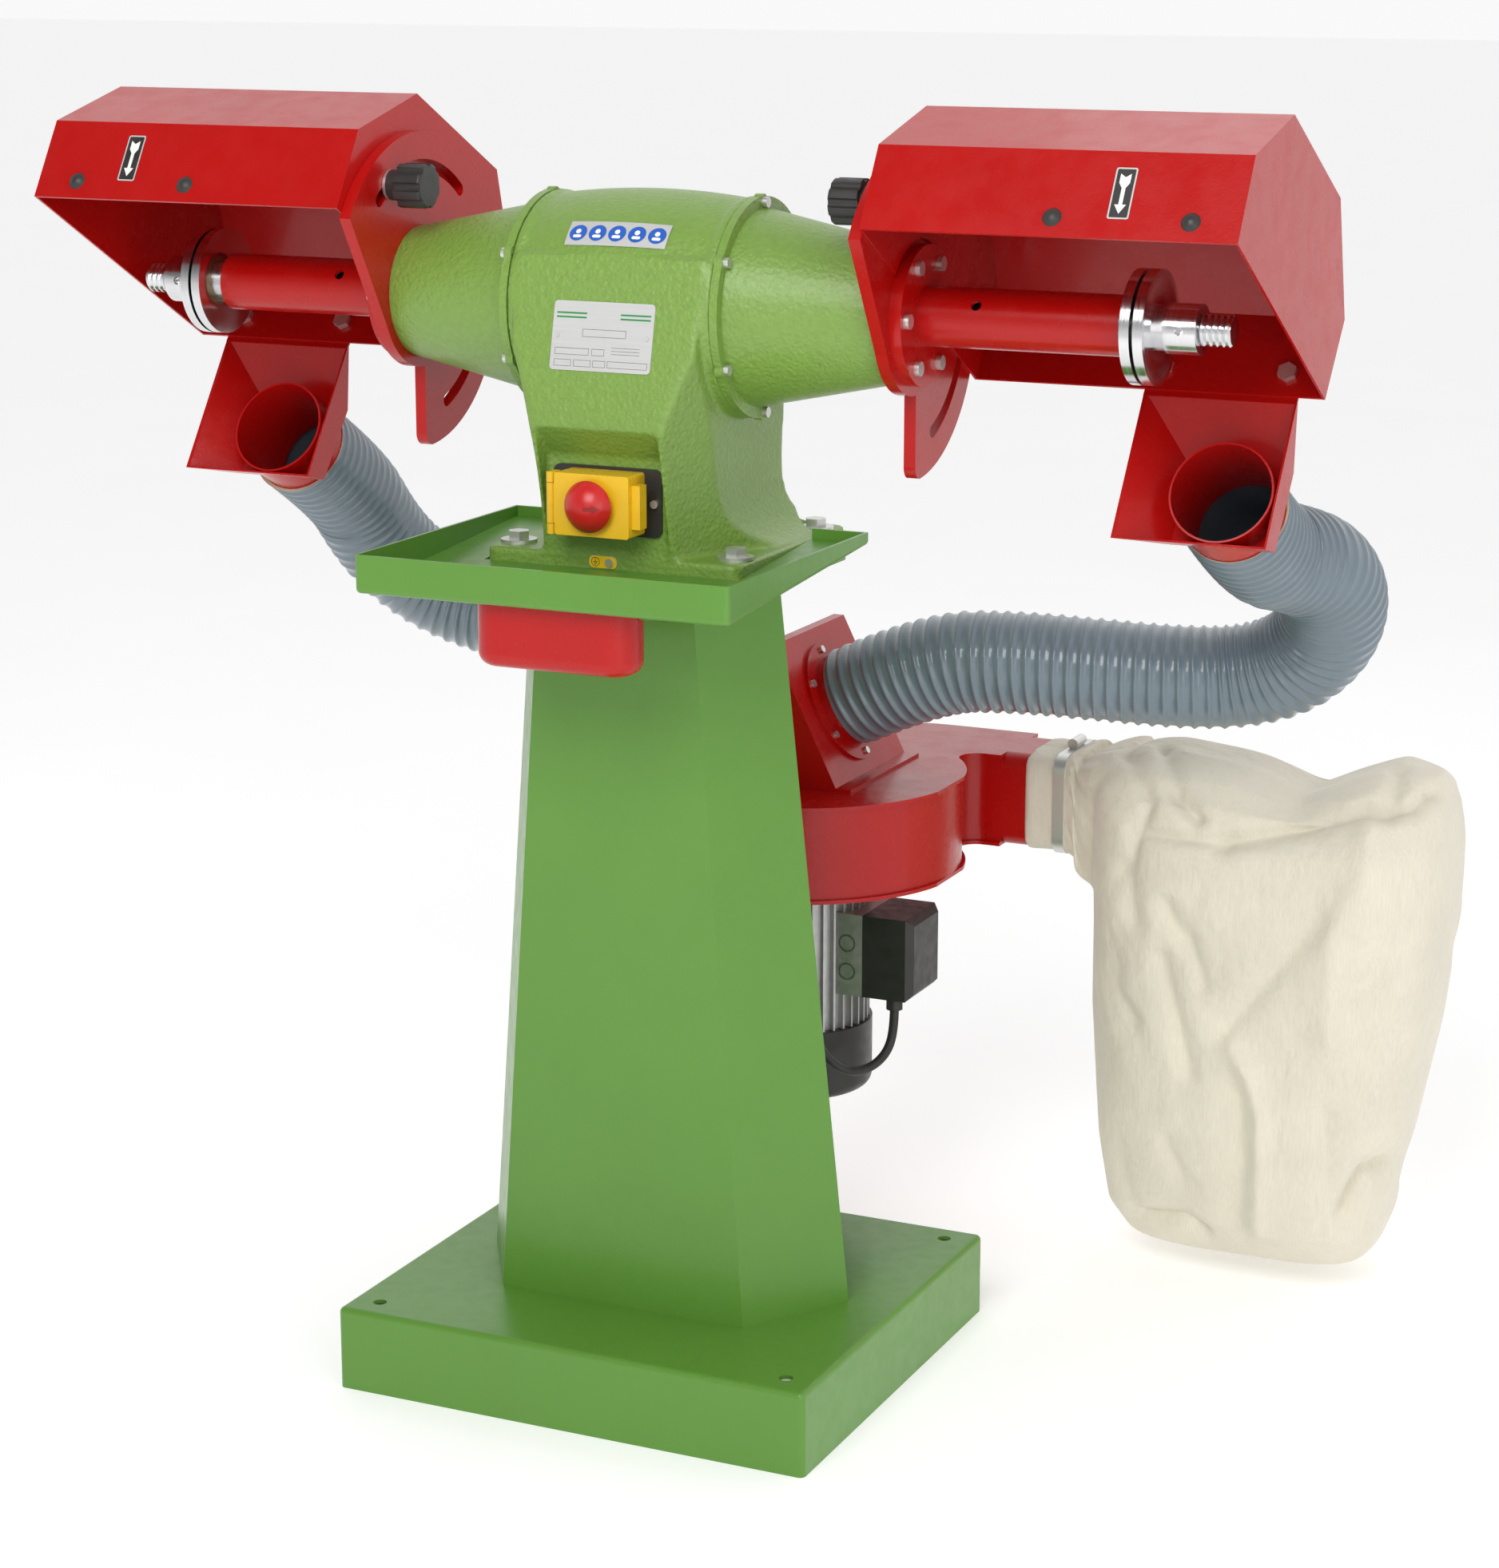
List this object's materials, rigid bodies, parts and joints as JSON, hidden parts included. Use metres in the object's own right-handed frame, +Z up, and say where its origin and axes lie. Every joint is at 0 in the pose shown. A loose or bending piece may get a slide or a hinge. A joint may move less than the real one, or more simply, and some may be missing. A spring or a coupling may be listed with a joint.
{
  "type": "pedestal polishing machine",
  "caption": "Pedestal polisher with a long spindle, two tilting dust hoods, ribbed hoses to a suction fan, a cloth dust bag and a drip tray.",
  "frame": {"origin": "middle of the plinth's footprint, on the floor", "axes": "+X along the spindle to the right end as the worker sees it, +Y away from the worker, +Z up"},
  "size_m": [1.3237, 0.8983, 1.291],
  "materials": {
    "green_sheet": "satin sheet paint",
    "green_casting": "hammered paint on cast iron",
    "red_paint": "gloss paint",
    "fan_paint": "gloss paint",
    "plated_steel": "zinc plated",
    "machined_steel": "turned and oiled",
    "copper": "enamelled winding",
    "bronze": "bearing bronze",
    "cast_aluminium": "die cast",
    "black_plastic": "moulded",
    "yellow_plastic": "moulded",
    "red_plastic": "moulded",
    "green_plastic": "moulded",
    "bag_cloth": "woven filter cloth",
    "hose_plastic": "ribbed soft plastic",
    "cable_jacket": "rubber sheath"
  },
  "bodies": {
    "stand": {"base_plinth": "green_sheet", "column_front": "green_sheet", "column_rear": "green_sheet", "head_plate": "green_sheet", "drip_tray": "green_sheet", "pot_runners": "green_sheet", "fan_bracket": "green_sheet", "motor_housing": "green_casting", "left_end_bell": "green_casting", "right_end_bell": "green_casting", "left_sector_plate": "red_paint", "right_sector_plate": "red_paint", "left_spindle_tube": "red_paint", "right_spindle_tube": "red_paint", "foot_bolts": "plated_steel", "motor_screws": "plated_steel", "small_screws": "plated_steel", "bag_clamp": "plated_steel", "motor_plates": "plated_steel", "stator_core": "machined_steel", "motor_bearings": "machined_steel", "stator_windings": "copper", "nose_bushes": "bronze", "switch_plate": "black_plastic", "terminal_box": "black_plastic", "cable_glands": "black_plastic", "fan_cowl": "black_plastic", "switch_box": "yellow_plastic", "volute_housing": "fan_paint", "volute_cover": "fan_paint", "inlet_plenum": "fan_paint", "hose_spigots": "fan_paint", "fan_motor_body": "cast_aluminium", "dust_bag": "bag_cloth", "left_hose": "hose_plastic", "right_hose": "hose_plastic", "fan_cable": "cable_jacket"},
    "spindle": {"spindle_shaft": "machined_steel", "rotor_core": "machined_steel", "inner_flanges": "machined_steel", "outer_flanges": "machined_steel", "clamp_nuts": "machined_steel"},
    "left_hood": {"left_hood": "red_paint", "left_chute": "red_paint", "left_hood_plugs": "black_plastic", "left_hood_studs": "plated_steel"},
    "right_hood": {"right_hood": "red_paint", "right_chute": "red_paint", "right_hood_plugs": "black_plastic", "right_hood_studs": "plated_steel"},
    "left_knob": {"left_knob": "black_plastic"},
    "right_knob": {"right_knob": "black_plastic"},
    "switch_flap": {"switch_flap": "yellow_plastic"},
    "stop_mushroom": {"stop_mushroom": "red_plastic"},
    "start_button": {"start_button": "green_plastic"},
    "stop_button": {"stop_button": "black_plastic"},
    "fan_rotor": {"impeller": "cast_aluminium", "fan_shaft": "machined_steel"},
    "drip_pot": {"drip_pot": "red_paint"}
  },
  "joints": [
    {"name": "spindle_spin", "type": "hinge", "parent": "stand", "child": "spindle", "pos_m": [0, -0.016, 1.0975], "axis": [1, 0, 0], "continuous": true},
    {"name": "left_hood_tilt", "type": "hinge", "parent": "stand", "child": "left_hood", "pos_m": [0, -0.016, 1.0975], "axis": [1, 0, 0], "range_deg": [-24, 8], "deforming": ["left_hose"]},
    {"name": "right_hood_tilt", "type": "hinge", "parent": "stand", "child": "right_hood", "pos_m": [0, -0.016, 1.0975], "axis": [1, 0, 0], "range_deg": [-24, 8], "deforming": ["right_hose"]},
    {"name": "left_knob_turn", "type": "hinge", "parent": "left_hood", "child": "left_knob", "pos_m": [-0.24, -0.07517, 1.20647], "axis": [-1, 0, 0], "continuous": true},
    {"name": "right_knob_turn", "type": "hinge", "parent": "right_hood", "child": "right_knob", "pos_m": [0.24, -0.07517, 1.20647], "axis": [1, 0, 0], "continuous": true},
    {"name": "switch_flap_hinge", "type": "hinge", "parent": "stand", "child": "switch_flap", "pos_m": [-0.045, -0.154, 0.918], "axis": [0, 0, -1], "range_deg": [0, 110]},
    {"name": "stop_mushroom_push", "type": "slide", "parent": "switch_flap", "child": "stop_mushroom", "axis": [0, 1, 0], "range_m": [0, 0.006], "stiffness_N_per_m": 800},
    {"name": "start_button_push", "type": "slide", "parent": "stand", "child": "start_button", "axis": [0, 1, 0], "range_m": [0, 0.003], "stiffness_N_per_m": 800},
    {"name": "stop_button_push", "type": "slide", "parent": "stand", "child": "stop_button", "axis": [0, 1, 0], "range_m": [0, 0.003], "stiffness_N_per_m": 800},
    {"name": "fan_spin", "type": "hinge", "parent": "stand", "child": "fan_rotor", "pos_m": [0, 0.328, 0.45], "axis": [0, 0, 1], "continuous": true},
    {"name": "drip_pot_slide", "type": "slide", "parent": "stand", "child": "drip_pot", "axis": [0, -1, 0], "range_m": [0, 0.11]}
  ]
}
